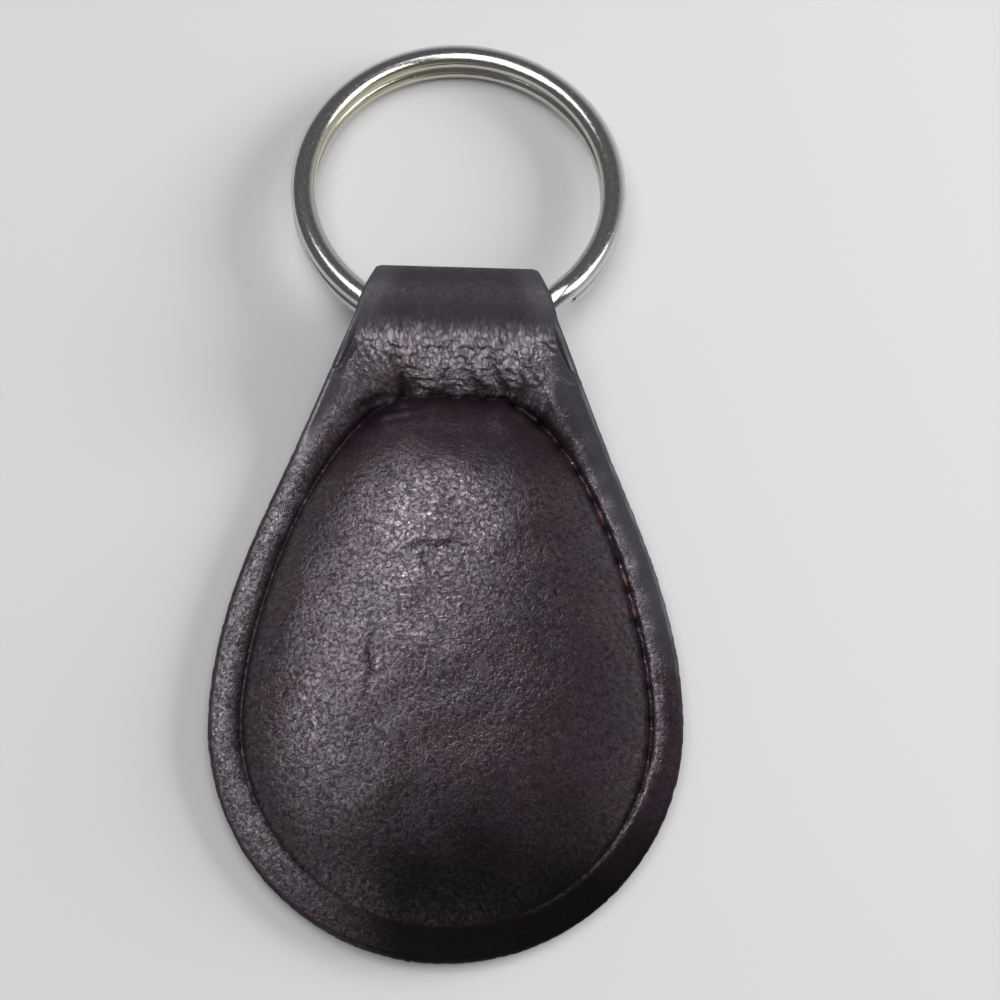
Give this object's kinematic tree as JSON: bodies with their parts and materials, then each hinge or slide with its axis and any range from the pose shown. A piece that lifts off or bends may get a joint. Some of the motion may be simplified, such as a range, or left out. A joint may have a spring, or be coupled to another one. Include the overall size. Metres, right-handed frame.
{
  "type": "padded leather key tag",
  "caption": "Padded leather key tag: a leather blank folded over a split ring and sewn round its pad, with the ring free to swing in the fold.",
  "frame": {"origin": "centre of the tag's round end, on its flat back face", "axes": "+Y along the tag towards the ring, +Z out of the padded front face"},
  "size_m": [0.0424, 0.0886, 0.0088],
  "materials": {
    "cover_leather": "satin full-grain leather, very dark brown with a faint purple cast, pebbled, dyed black at its cut edge",
    "pad_foam": "soft pale padding, hidden",
    "seam_thread": "dull dark red-brown sewing thread",
    "ring_plate": "bright nickel plate with fine scratches"
  },
  "bodies": {
    "tag": {"folded_cover": "cover_leather", "foam_pad": "pad_foam", "needle_thread": "seam_thread", "bobbin_thread": "seam_thread"},
    "ring": {"split_ring": "ring_plate"}
  },
  "joints": [
    {"name": "ring_swing", "type": "hinge", "parent": "tag", "child": "ring", "pos_m": [0, 0.0381, 0.0044], "axis": [1, 0, 0], "range_deg": [-144, 170]}
  ]
}
